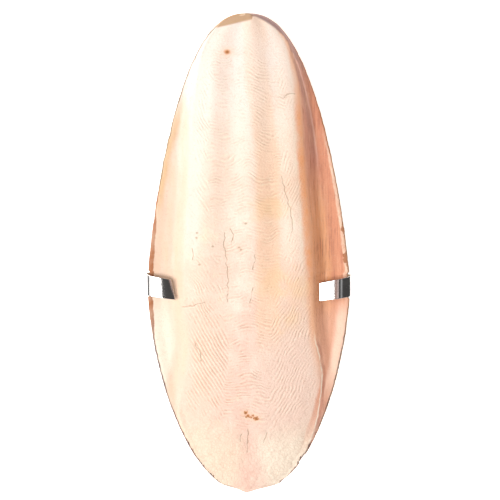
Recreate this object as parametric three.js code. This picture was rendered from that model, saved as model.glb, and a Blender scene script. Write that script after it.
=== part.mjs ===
// A cuttlebone held in a bent metal strip, lying on its soft side.
// Millimetres. +Z is up out of the ribbed hard side, +Y runs to the narrow tail end,
// and the origin is on the surface that the object lies on, under its middle.
import * as THREE from "three";
import { mergeVertices } from "three/addons/utils/BufferGeometryUtils.js";

// The bone's outline, seen from above
const LENGTH = 150;
const HALF_LENGTH = LENGTH / 2;
const HALF_WIDTH = 31.2;
const WIDEST_Y = -8.7;
const TAIL_FULLNESS = [1.3, 0.413];
const HEAD_FULLNESS = [1.58, 0.463];

// The thin edge that runs all round
const EDGE_THICKNESS = 0.9;
const EDGE_HEIGHT = 9;
const EDGE_DROP_AT_TAIL = 4.4;
const EDGE_DROP_AT_HEAD = 3.4;
const EDGE_UPTURN = 0.7;

// The raised body on the hard side, with its shoulders and three ribs
const SHOULDER_SHARE = 0.63;
const SHOULDER_OUT_AT_TAIL = 0.42;
const SHOULDER_OUT_AT_HEAD = 0.36;
const SHOULDER_OUT_FROM = { left: 0.3, right: 0.15 };
const WIDEST_SHOULDER = 0.94;
const FLANK_DROP = 4.3;
const FLANK_WIDTH = 4.5;
const CROWN_RISE = 2.4;
const TAIL_SINK = 1.4;
const RIB_HEIGHT = 0.5;
const RIB_PITCH_SHARE = 0.78;
const MIDDLE_RIB_X = 1.2;

// The tail end of the hard side, cut off like a gable below the broken spine
const GABLE_PEAK = new THREE.Vector2(1.7, 74.7);
const GABLE_SLOPE_LEFT = 0.24;
const GABLE_SLOPE_RIGHT = -0.28;
const GABLE_CURVE_RIGHT = -0.038;
const GABLE_FACE_WIDTH = 2.2;

// The chalky soft side: a full belly, the last chamber's step, the groove and the tail cup
const BELLY_CLEARANCE = 0.1;
const BELLY_SHARE = 0.93;
const BELLY_NARROWING_AT_TAIL = 0.16;
const BELLY_RISE = 7.8;
const BELLY_ROUNDNESS = 2.6;
const LAST_CHAMBER_STEP = 0.4;
const LAST_CHAMBER_Y = -27;
const SULCUS_DEPTH = 0.7;
const SULCUS_WIDTH = 5;
const CUP_DEPTH = 1.6;
const CUP_Y = 70;
const CUP_HALF_WIDTH = 6;
const CUP_HALF_LENGTH = 4;

// The metal strip and its two folded ends
const STRIP_WIDTH = 6.5;
const STRIP_THICKNESS = 0.5;
const STRIP_Y = -7.65;
const STRIP_SLANT = 0.0145;
const STRIP_FLAT_HALF = 8;
const STRIP_CURVE = 1.4;
const STRIP_END_X = 31.7;
const CLEARANCE = 0.3;
const LEFT_BEND = { rise: 8.7, width: 2.2, height: 2.5 };
const LEFT_TAB = { endX: 23.1, endDrop: 0.7, curl: 2.6, skew: 1.5, taper: 0.03, cut: 0.7 };
const RIGHT_BEND = { rise: 8.8, width: 5.4, height: 2.6 };
const RIGHT_TAB = { endX: 21.6, endDrop: 0.1, curl: 1.5, skew: 1.7, taper: 0.13, cut: 0 };

// The groove that the strip has pressed into the soft side, and its bite into both edges
const GROOVE_MARGIN = 0.4;
const GROOVE_HALF = STRIP_WIDTH / 2 + CLEARANCE + GROOVE_MARGIN;
const GROOVE_WALL = 0.3;
const EDGE_BITE = 0.4;

// How finely the bone's surface and the strip's tabs are faceted
const TAIL_ROWS = 34;
const HEAD_ROWS = 26;
const SIDES = 60;
const TAB_STEPS = 6;

const bonePaint = new THREE.MeshStandardMaterial({ color: 0xf8dcc4, roughness: 0.85, metalness: 0 });
const stripPaint = new THREE.MeshStandardMaterial({ color: 0xd9d9dc, roughness: 0.18, metalness: 1 });

const { smoothstep, clamp, lerp } = THREE.MathUtils;

// How far along the bone a point is: 1 at the tail tip, -1 at the head tip
function along(y) {
  return clamp(y / HALF_LENGTH, -1, 1);
}

// Half the bone's width at a station
function halfWidth(y) {
  const towardTail = y > WIDEST_Y;
  const reach = towardTail ? HALF_LENGTH - WIDEST_Y : HALF_LENGTH + WIDEST_Y;
  const [shape, bluntness] = towardTail ? TAIL_FULLNESS : HEAD_FULLNESS;
  const share = clamp(Math.abs(y - WIDEST_Y) / reach, 0, 1);
  return HALF_WIDTH * (1 - share ** shape) ** bluntness;
}

// The height of the edge: it sinks toward both tips
function edgeHeight(v) {
  const drop = v > 0 ? EDGE_DROP_AT_TAIL * v ** 2.4 : EDGE_DROP_AT_HEAD * (-v) ** 2.2;
  return EDGE_HEIGHT - drop;
}

// The flange beside the body: a shallow valley that turns up to the edge
function flangeHeight(side, v) {
  const inward = smoothstep(1 - side, 0, 0.14);
  const fade = 1 - Math.abs(v) ** 8;
  return edgeHeight(v) - EDGE_UPTURN * inward * fade;
}

// Half the edge's thickness, rounding to nothing at the rim and at both tips
function halfThickness(side, v) {
  return (EDGE_THICKNESS / 2) * Math.sqrt((1 - side ** 12) * (1 - Math.abs(v) ** 60));
}

// The shoulder runs well inside the outline mid-way and joins it at both ends.
// Toward the head it turns out sooner on the right than on the left.
function shoulderX(x, y) {
  const v = along(y);
  const tailward = SHOULDER_OUT_AT_TAIL * Math.max(v, 0) ** 3;
  const from = x < 0 ? SHOULDER_OUT_FROM.left : SHOULDER_OUT_FROM.right;
  const headward = SHOULDER_OUT_AT_HEAD * smoothstep(-v, from, 0.8);
  return Math.min(SHOULDER_SHARE + tailward + headward, WIDEST_SHOULDER) * halfWidth(y);
}

// How far a point lies inside the gable that ends the hard side
function insideGable(x, y) {
  const beside = x - GABLE_PEAK.x;
  const [slope, curve] = beside < 0 ? [GABLE_SLOPE_LEFT, 0] : [GABLE_SLOPE_RIGHT, GABLE_CURVE_RIGHT];
  const end = GABLE_PEAK.y + slope * beside + curve * beside ** 2;
  return (end - y) / Math.hypot(1, slope + 2 * curve * beside);
}

// The body's height above the flange
function bodyHeight(x, y) {
  const v = along(y);
  const shoulder = shoulderX(x, y);
  const foot = Math.min(shoulder + FLANK_WIDTH, halfWidth(y));
  const drop = FLANK_DROP * smoothstep(v, -0.95, 0.05);
  const total = FLANK_DROP + CROWN_RISE;
  const headRise = total * (1 - Math.max(-v, 0) ** 1.8) ** 0.8;
  const rise = headRise - drop - TAIL_SINK * Math.max(v, 0) ** 2.5;
  const reach = Math.abs(x) / Math.max(shoulder, 0.01);
  const crown = rise * (1 - Math.min(reach, 1.4) ** 2.2);
  const ribPhase = (2 * Math.PI * (x - MIDDLE_RIB_X)) / (RIB_PITCH_SHARE * Math.max(shoulder, 3));
  const ribFade = smoothstep(v, -0.38, 0.1) * (1 - smoothstep(reach, 0.95, 1.2));
  const ribs = RIB_HEIGHT * Math.cos(ribPhase) * ribFade;
  const acrossFlank = 1 - smoothstep(Math.abs(x), shoulder, foot);
  const overEnd = smoothstep(insideGable(x, y), -GABLE_FACE_WIDTH, 0.3);
  return (drop + crown + ribs) * acrossFlank * overEnd;
}

function hardSide(x, y) {
  const v = along(y);
  const side = Math.min(Math.abs(x) / Math.max(halfWidth(y), 1e-6), 1);
  return flangeHeight(side, v) + halfThickness(side, v) + bodyHeight(x, y);
}

// The belly's lowest line, flat in the middle and rising to both tips
function bellyLine(v) {
  const toHead = BELLY_RISE * Math.max(-0.15 - v, 0) ** 1.9;
  const toTail = BELLY_RISE * Math.max(v - 0.1, 0) ** 1.5;
  return BELLY_CLEARANCE + toHead + toTail;
}

// The strip's middle line: flat under the belly, then curving up to each edge
function stripMiddle(x, bend) {
  const reach = STRIP_END_X - STRIP_THICKNESS / 2 - STRIP_FLAT_HALF;
  const share = clamp((Math.abs(x) - STRIP_FLAT_HALF) / reach, 0, 1);
  const lift = 1 - (1 - share ** STRIP_CURVE) ** (1 / STRIP_CURVE);
  return lerp(STRIP_THICKNESS / 2, bend.rise, lift);
}

// The strip's upper face, which leans out as the strip climbs
function stripTop(x) {
  const bend = x < 0 ? LEFT_BEND : RIGHT_BEND;
  const climb = (stripMiddle(Math.abs(x) + 0.1, bend) - stripMiddle(x, bend)) / 0.1;
  return stripMiddle(x, bend) + (STRIP_THICKNESS / 2) * Math.hypot(1, climb);
}

function softSide(x, y) {
  const v = along(y);
  const width = Math.max(halfWidth(y), 1e-6);
  const side = Math.min(Math.abs(x) / width, 1);
  const bellyShare = BELLY_SHARE - BELLY_NARROWING_AT_TAIL * smoothstep(v, 0.2, 0.9);
  const inBelly = 1 - Math.min(side / bellyShare, 1) ** BELLY_ROUNDNESS;
  const closing = Math.sqrt(1 - Math.abs(v) ** 60);
  const depth = edgeHeight(v) - EDGE_UPTURN - EDGE_THICKNESS / 2 - bellyLine(v);
  const chamberEdge = LAST_CHAMBER_Y + 0.06 * Math.abs(x) ** 2;
  const chamber = LAST_CHAMBER_STEP * (1 - smoothstep(y, chamberEdge - 2, chamberEdge + 2));
  const sulcusFade = smoothstep(y, LAST_CHAMBER_Y, 10) * (1 - smoothstep(y, 52, 66));
  const sulcus = SULCUS_DEPTH * Math.exp(-((x / SULCUS_WIDTH) ** 2)) * sulcusFade;
  const fromCup = (x / CUP_HALF_WIDTH) ** 2 + ((y - CUP_Y) / CUP_HALF_LENGTH) ** 2;
  const cup = CUP_DEPTH * Math.exp(-fromCup);
  const relief = (sulcus + cup - chamber) * inBelly * closing;
  const face = flangeHeight(side, v) - halfThickness(side, v) - depth * inBelly * closing + relief;
  const pressed = stripTop(x) + CLEARANCE;
  const inGroove = Math.abs(y - STRIP_Y) < GROOVE_HALF + GROOVE_WALL / 2 && side < bellyShare;
  return inGroove ? Math.max(face, pressed) : face;
}

// Where the rows of points cross the bone, from tail to head, with one row on each groove edge
function stations() {
  const edge = GROOVE_HALF + GROOVE_WALL;
  const rows = [];
  for (let i = TAIL_ROWS; i >= 0; i--) {
    rows.push(lerp(STRIP_Y + edge, HALF_LENGTH, Math.sin((Math.PI * i) / (2 * TAIL_ROWS))));
  }
  rows.push(STRIP_Y + GROOVE_HALF, STRIP_Y, STRIP_Y - GROOVE_HALF);
  for (let i = 0; i <= HEAD_ROWS; i++) {
    rows.push(lerp(STRIP_Y - edge, -HALF_LENGTH, Math.sin((Math.PI * i) / (2 * HEAD_ROWS))));
  }
  return rows;
}

// A ball's grid of points, pushed out to the two faces of the bone
function boneGeometry() {
  const rowY = stations();
  const ball = new THREE.SphereGeometry(1, SIDES, rowY.length - 1);
  ball.deleteAttribute("normal");
  ball.deleteAttribute("uv");
  const geometry = mergeVertices(ball, 1e-5);
  const points = geometry.attributes.position;
  for (let i = 0; i < points.count; i++) {
    const row = Math.round((Math.acos(points.getY(i)) / Math.PI) * (rowY.length - 1));
    const y = rowY[row];
    const ring = Math.hypot(points.getX(i), points.getZ(i));
    const across = ring > 1e-4 ? clamp(points.getX(i) / ring, -1, 1) : 0;
    const even = (2 / Math.PI) * Math.asin(across);
    const x = halfWidth(y) * lerp(even, across, 0.45);
    const face = points.getZ(i) > 0 ? hardSide : softSide;
    const bitten = Math.abs(y - STRIP_Y) < GROOVE_HALF + GROOVE_WALL / 2 ? 1 - EDGE_BITE / halfWidth(y) : 1;
    points.setXYZ(i, x * bitten, y, face(x, y));
  }
  return geometry;
}

// The middle line of the strip, from the end of the left tab, under the belly, to the right one
function stripLine() {
  const sideLine = (bend, tab, sign) => {
    const outX = STRIP_END_X - STRIP_THICKNESS / 2;
    const line = [];
    for (let i = 0; i <= 14; i++) {
      const t = i / 14;
      const x = lerp(STRIP_FLAT_HALF, outX, 1 - (1 - t) ** 1.5);
      line.push(new THREE.Vector2(sign * x, stripMiddle(x, bend)));
    }
    const bendCurve = new THREE.EllipseCurve(
      outX - bend.width, bend.rise, bend.width, bend.height, 0, Math.PI / 2, false, 0);
    for (const point of bendCurve.getPoints(8).slice(1)) {
      line.push(new THREE.Vector2(sign * point.x, point.y));
    }
    const top = line[line.length - 1];
    for (let i = 1; i <= TAB_STEPS; i++) {
      const t = i / TAB_STEPS;
      line.push(new THREE.Vector2(
        sign * lerp(Math.abs(top.x), tab.endX, t),
        top.y - tab.endDrop * t ** tab.curl));
    }
    return line;
  };
  const left = sideLine(LEFT_BEND, LEFT_TAB, -1).reverse();
  return left.concat(sideLine(RIGHT_BEND, RIGHT_TAB, 1));
}

// A closed outline at an even distance on both sides of a line
function outlineAround(line, distance) {
  const normals = line.map((point, i) => {
    const ahead = line[Math.min(i + 1, line.length - 1)];
    const behind = line[Math.max(i - 1, 0)];
    const run = ahead.clone().sub(behind).normalize();
    return new THREE.Vector2(-run.y, run.x);
  });
  const upper = line.map((point, i) => point.clone().addScaledVector(normals[i], distance));
  const lower = line.map((point, i) => point.clone().addScaledVector(normals[i], -distance));
  return new THREE.Shape(upper.concat(lower.reverse()));
}

// The strip stands on edge as it is extruded, then lies across the bone.
// Its folded ends lie a little askew, narrow toward their tips and are cut off aslant.
function clipGeometry() {
  const section = outlineAround(stripLine(), STRIP_THICKNESS / 2);
  const band = new THREE.ExtrudeGeometry(section, { depth: STRIP_WIDTH, bevelEnabled: false });
  band.rotateX(Math.PI / 2);
  band.translate(0, STRIP_Y + STRIP_WIDTH / 2, 0);
  const points = band.attributes.position;
  for (let i = 0; i < points.count; i++) {
    const x = points.getX(i);
    const [bend, tab] = x < 0 ? [LEFT_BEND, LEFT_TAB] : [RIGHT_BEND, RIGHT_TAB];
    const onTab = points.getZ(i) > bend.rise;
    const inward = onTab ? clamp((STRIP_END_X - Math.abs(x)) / (STRIP_END_X - tab.endX), 0, 1) : 0;
    const fromMiddle = points.getY(i) - STRIP_Y;
    const narrowed = fromMiddle * (1 - tab.taper * inward);
    const aslant = (tab.cut * fromMiddle * inward ** 4) / (STRIP_WIDTH / 2);
    points.setX(i, x - aslant);
    points.setY(i, STRIP_Y + narrowed - tab.skew * inward - STRIP_SLANT * x);
  }
  return band;
}

const cuttlebone = new THREE.Mesh(boneGeometry(), bonePaint);
cuttlebone.name = "cuttlebone";

const clip = new THREE.Mesh(clipGeometry(), stripPaint);
clip.name = "clip";

const heldCuttlebone = new THREE.Group();
heldCuttlebone.add(cuttlebone, clip);

export default heldCuttlebone;
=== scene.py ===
import math

import bpy
import numpy as np
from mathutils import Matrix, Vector


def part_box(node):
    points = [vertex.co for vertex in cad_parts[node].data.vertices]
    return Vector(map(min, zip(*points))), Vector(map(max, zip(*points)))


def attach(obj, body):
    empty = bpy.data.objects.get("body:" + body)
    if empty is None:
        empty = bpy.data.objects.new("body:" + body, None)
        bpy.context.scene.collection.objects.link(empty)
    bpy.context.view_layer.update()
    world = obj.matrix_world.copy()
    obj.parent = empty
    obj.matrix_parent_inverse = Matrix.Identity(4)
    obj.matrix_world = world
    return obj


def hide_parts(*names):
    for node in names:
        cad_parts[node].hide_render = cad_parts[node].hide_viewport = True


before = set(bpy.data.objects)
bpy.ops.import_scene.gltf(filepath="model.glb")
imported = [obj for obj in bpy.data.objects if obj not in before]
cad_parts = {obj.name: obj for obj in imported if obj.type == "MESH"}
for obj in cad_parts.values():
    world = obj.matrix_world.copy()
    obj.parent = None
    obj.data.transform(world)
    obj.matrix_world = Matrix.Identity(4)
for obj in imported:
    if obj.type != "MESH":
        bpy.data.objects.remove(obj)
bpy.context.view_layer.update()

# The bone. A cuttlefish's inner shell, grown in one piece: a hard, ribbed upper side over a chalky
# belly of thin chambers, with a thin edge all round. It is made here as one closed skin of points,
# laid out in rows from the tail tip to the head tip. Sizes are in millimetres.
MM = 0.001
bone_low, bone_high = (np.array(corner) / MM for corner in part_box("cuttlebone"))
HALF_LENGTH = (bone_high[1] - bone_low[1]) / 2
HALF_WIDTH = 31.2
WIDEST_Y = -8.7
TAIL_FULLNESS = (1.3, 0.413)
HEAD_FULLNESS = (1.58, 0.463)
HILLS_IN_A_ROW = 61


def ease(value, low, high):
    """Runs smoothly from 0 at low to 1 at high."""
    share = np.clip((value - low) / (high - low), 0, 1)
    return share * share * (3 - 2 * share)


def within(value, start, full, fall, end):
    """Rises from 0 at start to 1 at full, and falls from 1 at fall to 0 at end."""
    return ease(value, start, full) * ease(-value, -end, -fall)


def bell(value, width):
    """1 at 0, falling off smoothly on both sides."""
    return np.exp(-((value / width) ** 2))


def hills(x, y, grain, seed):
    """Soft random hills about `grain` millimetres across, between -1 and 1."""
    heights = np.random.default_rng(seed).uniform(-1, 1, (HILLS_IN_A_ROW, HILLS_IN_A_ROW))
    across, along = np.floor(x / grain), np.floor(y / grain)
    u, v = x / grain - across, y / grain - along
    u, v = u * u * (3 - 2 * u), v * v * (3 - 2 * v)
    i, j = across.astype(int) % HILLS_IN_A_ROW, along.astype(int) % HILLS_IN_A_ROW
    next_i, next_j = (i + 1) % HILLS_IN_A_ROW, (j + 1) % HILLS_IN_A_ROW
    near = heights[i, j] * (1 - u) + heights[next_i, j] * u
    far = heights[i, next_j] * (1 - u) + heights[next_i, next_j] * u
    return near * (1 - v) + far * v


def layered_hills(x, y, layers):
    """Hills laid on hills, each layer with its height, grain and seed."""
    return sum(height * hills(x, y, grain, seed) for height, grain, seed in layers)


def half_width(y):
    """Half the bone's width at a station, before its edge is chipped."""
    reach = np.where(y > WIDEST_Y, HALF_LENGTH - WIDEST_Y, HALF_LENGTH + WIDEST_Y)
    shape = np.where(y > WIDEST_Y, TAIL_FULLNESS[0], HEAD_FULLNESS[0])
    bluntness = np.where(y > WIDEST_Y, TAIL_FULLNESS[1], HEAD_FULLNESS[1])
    share = np.clip(np.abs(y - WIDEST_Y) / reach, 0, 1)
    return HALF_WIDTH * (1 - share**shape) ** bluntness


# The thin edge that runs all round. Below, `v` is the share of the way to a tip, 1 at the tail and
# -1 at the head, and `side` the share of the way from the middle to the edge.
EDGE_THICKNESS = 0.9
EDGE_HEIGHT = 9
EDGE_DROP_AT_TAIL = 4.4
EDGE_DROP_AT_HEAD = 3.4
EDGE_UPTURN = 0.7
EDGE_UPTURN_SHARE = 0.14


def edge_height(v):
    """The edge sinks toward both tips."""
    tail_drop = EDGE_DROP_AT_TAIL * np.maximum(v, 0) ** 2.4
    head_drop = EDGE_DROP_AT_HEAD * np.maximum(-v, 0) ** 2.2
    return EDGE_HEIGHT - np.where(v > 0, tail_drop, head_drop)


def flange_height(side, v):
    """The shallow valley beside the body, turned up to the edge."""
    return edge_height(v) - EDGE_UPTURN * ease(1 - side, 0, EDGE_UPTURN_SHARE) * (1 - np.abs(v) ** 8)


def half_thickness(side, v):
    """Half the edge's thickness, rounding to nothing at the rim and at both tips."""
    return EDGE_THICKNESS / 2 * np.sqrt((1 - side**12) * (1 - np.abs(v) ** 60))


# The raised body on the hard side, with its shoulders and three ribs, and the gable that ends it
SHOULDER_SHARE = 0.63
SHOULDER_OUT_AT_TAIL = 0.42
SHOULDER_OUT_AT_HEAD = 0.36
SHOULDER_OUT_FROM = {"left": 0.3, "right": 0.15}
WIDEST_SHOULDER = 0.94
FLANK_DROP = 4.3
FLANK_WIDTH = 4.5
CROWN_RISE = 2.4
TAIL_SINK = 1.4
RIB_HEIGHT = 0.5
RIB_PITCH_SHARE = 0.78
RIB_LOSS_AT_TAIL = 0.45
MIDDLE_RIB_X = 1.2
GABLE_PEAK = (1.7, 74.7)
GABLE_NOTCH = 0.9
GABLE_SLOPES = (0.24, -0.28)
GABLE_CURVE_RIGHT = -0.038
GABLE_FACE_WIDTH = 2.2


def shoulder_x(x, y):
    """Where the top of the body turns down into its flank: further out toward both tips."""
    v = y / HALF_LENGTH
    out_from = np.where(x < 0, SHOULDER_OUT_FROM["left"], SHOULDER_OUT_FROM["right"])
    tailward = SHOULDER_OUT_AT_TAIL * np.maximum(v, 0) ** 3
    headward = SHOULDER_OUT_AT_HEAD * ease(-v, out_from, 0.8)
    return np.minimum(SHOULDER_SHARE + tailward + headward, WIDEST_SHOULDER) * half_width(y)


def inside_gable(x, y):
    """How far a point lies inside the gable that ends the hard side under the broken spine."""
    beside = x - GABLE_PEAK[0]
    slope = np.where(beside < 0, *GABLE_SLOPES)
    curve = np.where(beside < 0, 0, GABLE_CURVE_RIGHT)
    end = GABLE_PEAK[1] + slope * beside + curve * beside**2 - GABLE_NOTCH * (beside < 0)
    return (end - y) / np.hypot(1, slope + 2 * curve * beside)


def body_height(x, y):
    """How far the body stands above the flange."""
    v = y / HALF_LENGTH
    shoulder = shoulder_x(x, y)
    foot = np.minimum(shoulder + FLANK_WIDTH, half_width(y) + 1e-6)
    drop = FLANK_DROP * ease(v, -0.95, 0.05)
    head_rise = (FLANK_DROP + CROWN_RISE) * (1 - np.maximum(-v, 0) ** 1.8) ** 0.8
    rise = head_rise - drop - TAIL_SINK * np.maximum(v, 0) ** 2.5
    reach = np.abs(x) / np.maximum(shoulder, 0.01)
    crown = rise * (1 - np.minimum(reach, 1.4) ** 2.2)
    rib_phase = 2 * math.pi * (x - MIDDLE_RIB_X) / (RIB_PITCH_SHARE * np.maximum(shoulder, 3))
    rib_fade = ease(v, -0.38, 0.1) * (1 - ease(reach, 0.95, 1.2)) * (1 - RIB_LOSS_AT_TAIL * ease(v, 0.5, 0.9))
    ribs = RIB_HEIGHT * np.cos(rib_phase) * rib_fade
    across_flank = 1 - ease(np.abs(x), shoulder, foot)
    over_end = ease(inside_gable(x, y), -GABLE_FACE_WIDTH, 0.3)
    return (drop + crown + ribs) * across_flank * over_end


# Cracks and creases on the hard side, each a bent line of points, from the strip to the tips
CRACKS = [
    [(-7.0, 9.4), (-7.3, 5.7), (-6.9, 2.6), (-6.5, -0.8), (-6.2, -6.0), (-6.4, -11.7)],
    [(-5.5, 10.8), (-4.4, 9.1), (-4.9, 7.1)],
    [(10.1, 26.5), (11.9, 19.8), (13.4, 13.4), (13.1, 8.7)],
    [(2.2, 2.9), (1.6, -1.4)],
    [(1.2, -7.3), (0.4, -12.0)],
    [(-17.1, 4.5), (-16.9, 1.4)],
    [(-20.0, -13.9), (-17.9, -13.6), (-14.8, -12.5), (-13.3, -12.0)],
    [(-16.6, -25.6), (-15.0, -28.2), (-14.9, -30.7)],
    [(-2.3, -55.0), (-2.9, -57.2)],
    [(5.4, -54.5), (4.2, -57.5)],
    [(-0.5, -53.1), (-0.7, -60.6)],
    [(11.1, 50.5), (12.4, 51.1), (13.9, 51.5)],
]
CRACK_DEPTH = 0.07
CRACK_WOBBLE = 0.35
# The hard layer's lip beside the head end, on the right
LIP = [
    (19.5, -20.5), (20.5, -25.6), (21.6, -30.5), (22.6, -35.5),
    (22.2, -40.6), (21.5, -46.8), (20.5, -52.4), (18.9, -57.5),
]
LIP_WOBBLE = 0.15
WOBBLE_GRAIN = 1.3
FAR = 1e3


def beside_lines(lines, x, y, wobble):
    """How far to one side of the nearest of some bent lines a point is, and how far from it at all."""
    x = x + wobble * hills(x, y, WOBBLE_GRAIN, 41)
    y = y + wobble * hills(x, y, WOBBLE_GRAIN, 42)
    nearest = np.full(x.shape, FAR)
    signed = np.full(x.shape, FAR)
    for line in lines:
        for (ax, ay), (bx, by) in zip(line, line[1:]):
            length = math.hypot(bx - ax, by - ay)
            ux, uy = (bx - ax) / length, (by - ay) / length
            along = np.clip((x - ax) * ux + (y - ay) * uy, 0, length)
            apart = np.hypot(x - ax - along * ux, y - ay - along * uy)
            sideways = (x - ax) * uy - (y - ay) * ux
            closer = apart < nearest
            nearest = np.where(closer, apart, nearest)
            signed = np.where(closer, sideways, signed)
    return signed, nearest


# Growth lines: across the middle in two scallops, and steeply up both sides
LINE_PITCH = 1.02
LINES_MIDDLE_X = -0.6
SCALLOP_HEIGHT = 1.1
SCALLOP_WIDTH = 13.8
LIMB_CLIMB = (0.866, 0.5)
GROWTH_DRIFT = ((1.2, 9, 5), (0.6, 3.1, 6), (0.15, 1.2, 7))
LIMB_DRIFT = ((1.2, 9, 8), (0.5, 3.1, 9), (0.12, 1.2, 10))


def growth_phase(x, y):
    """Growth lines counted along the bone's middle."""
    off = np.abs(x - LINES_MIDDLE_X)
    scallops = SCALLOP_HEIGHT * (1 + np.cos(2 * math.pi * off / SCALLOP_WIDTH)) * (1 - ease(off, 8, 12))
    scallops = scallops * (0.35 + 0.65 * ease(y, -40, -5))
    drift = layered_hills(x, y, GROWTH_DRIFT)
    return (y - scallops + drift) / LINE_PITCH


def limb_phase(x, y):
    """The same lines counted where they climb the sides. At the lower left they run straight."""
    drift = layered_hills(x, y, LIMB_DRIFT)
    drift = drift * (1 - 0.75 * (x < 0) * ease(-y, 14, 22))
    return (LIMB_CLIMB[1] * y - LIMB_CLIMB[0] * np.abs(x - LINES_MIDDLE_X) + drift) / LINE_PITCH


def limb_share(x, y):
    """0 where the lines run across, 1 where they climb."""
    start = 6.5 + 4.5 * ease(y, -25, 15) + 1.5 * hills(x, y, 8, 15)
    return ease(np.abs(x - LINES_MIDDLE_X), start - 0.8, start + 0.8)


# Fine relief on the hard side, up to a few tenths of a millimetre
SWELL = ((0.16, 14, 11), (0.08, 5, 12), (0.04, 1.7, 13))
LAYER_STEP = 0.22
LAYER_END_SHARES = (-0.8, -0.68, -0.42, -0.28)
LIP_HEIGHT = 0.07
LIP_UNDERCUT = 0.25
LIP_STATIONS = (-58, -55, -30, -22)
FLANK_RIDGE_HEIGHT = 0.26
FLANK_RIDGE_SHARE = 0.845
FLANK_RIDGE_DRIFT = 0.0027
FLANK_RIDGE_Y = 39
FLANK_RIDGE_STATIONS = (30, 44, 62, 66)
CHIP_DEPTH = 0.35
CHIP_SPOT = (12.3, 50.9)
END_STEP = 0.35
GROWTH_RELIEF = 0.006
HEAD_GRAINS = ((0.09, 0.9, 17), (0.05, 2.2, 18))
TIP_DIP_DEPTH = 0.35
TIP_DIP_X = 0.6


def layer_end(x, y, v):
    """The hard layer stops short of the edge near the head, with a lip on the right."""
    step_x = shoulder_x(x, y) + 0.5 * hills(x * 0, y, 4, 14)
    step = LAYER_STEP * ease(step_x - np.abs(x), -0.25, 0.25) * within(v, *LAYER_END_SHARES)
    past_lip, apart = beside_lines([LIP], x, y, LIP_WOBBLE)
    lip = LIP_HEIGHT * bell(apart, 0.35) - LIP_UNDERCUT * bell(past_lip + 0.9, 0.6) * (apart < 3)
    return step + lip * within(y, *LIP_STATIONS)


def tail_marks(x, y, side):
    """A fine ridge down each flank, a chip, and the break where the hard side ends."""
    ridge_x = (FLANK_RIDGE_SHARE + FLANK_RIDGE_DRIFT * (y - FLANK_RIDGE_Y)) * half_width(y)
    ridge = FLANK_RIDGE_HEIGHT * bell(np.abs(x) - ridge_x, 0.4) * within(y, *FLANK_RIDGE_STATIONS)
    chip_line = y - CHIP_SPOT[1] - 0.2 * (x - 12)
    chip = CHIP_DEPTH * bell(x - CHIP_SPOT[0], 1.6) * bell(chip_line, 0.5)
    end_step = END_STEP * ease(-inside_gable(x, y), 0.0, 0.2) * ease(side, 1.0, 0.9) * (y > 55)
    return ridge - chip - end_step


def head_marks(x, y, v):
    """Chalky grains over the head end, and the shallow dip that runs to its tip."""
    grains = layered_hills(x, y, HEAD_GRAINS) * ease(-v, 0.52, 0.7)
    dip_width = 1.2 + 0.28 * np.maximum(-50 - y, 0)
    dip = TIP_DIP_DEPTH * np.exp(-((x - TIP_DIP_X) ** 2) / (2 * dip_width**2)) * ease(-y, 50, 60)
    return grains - dip


def hard_side(x, y, side, v):
    """The upper face, with the relief that a fingertip would feel."""
    height = flange_height(side, v) + half_thickness(side, v) + body_height(x, y)
    off_edge = ease(1 - side, 0, 0.05) * ease(1 - np.abs(v), 0, 0.02)
    swell = layered_hills(x, y, SWELL)
    crack = CRACK_DEPTH * bell(beside_lines(CRACKS, x, y, CRACK_WOBBLE)[1], 0.3)
    growth = GROWTH_RELIEF * np.cos(2 * math.pi * growth_phase(x, y)) * (1 - limb_share(x, y))
    growth = growth * ease(-np.abs(v), -0.9, -0.75)
    marks = layer_end(x, y, v) + tail_marks(x, y, side) + head_marks(x, y, v)
    return height + off_edge * (swell + marks - crack + growth)


# The chalky soft side, and the strip that presses into it
BELLY_CLEARANCE = 0.1
BELLY_SHARE = 0.93
BELLY_NARROWING_AT_TAIL = 0.16
BELLY_RISE = 7.8
BELLY_ROUNDNESS = 2.6
LAST_CHAMBER_Y = -27
LAST_CHAMBER_STEP = 0.4
SULCUS_DEPTH = 0.7
SULCUS_WIDTH = 5
SULCUS_STATIONS = (LAST_CHAMBER_Y, 10, 52, 66)
CUP_DEPTH = 1.6
CUP_Y = 70
CUP_HALF_WIDTH = 6
CUP_HALF_LENGTH = 4
CHAMBER_PITCH = 0.8
CHAMBER_RELIEF = 0.05
CHAMBER_DRIFT = ((0.5, 7, 25), (0.15, 2.2, 26))
STRIP_Y = -7.65
STRIP_WIDTH = 6.5
STRIP_THICKNESS = 0.5
STRIP_FLAT_HALF = 8
STRIP_CURVE = 1.4
STRIP_END_X = 31.7
STRIP_SLANT = 0.0145
CLEARANCE = 0.3
GROOVE_MARGIN = 0.7
EDGE_BITE = 0.4
LEFT_BEND = {"rise": 8.7, "width": 2.2, "height": 2.5}
RIGHT_BEND = {"rise": 8.8, "width": 5.4, "height": 2.6}


def strip_middle(x, rise):
    """The strip's middle line: flat under the belly, then curving up to each edge."""
    reach = STRIP_END_X - STRIP_THICKNESS / 2 - STRIP_FLAT_HALF
    share = np.clip((np.abs(x) - STRIP_FLAT_HALF) / reach, 0, 1)
    lift = 1 - (1 - share**STRIP_CURVE) ** (1 / STRIP_CURVE)
    return STRIP_THICKNESS / 2 + (rise - STRIP_THICKNESS / 2) * lift


def strip_top(x):
    """The strip's upper face, which leans out as the strip climbs."""
    rise = np.where(x < 0, LEFT_BEND["rise"], RIGHT_BEND["rise"])
    climb = (strip_middle(np.abs(x) + 0.1, rise) - strip_middle(x, rise)) / 0.1
    return strip_middle(x, rise) + STRIP_THICKNESS / 2 * np.hypot(1, climb)


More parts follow.
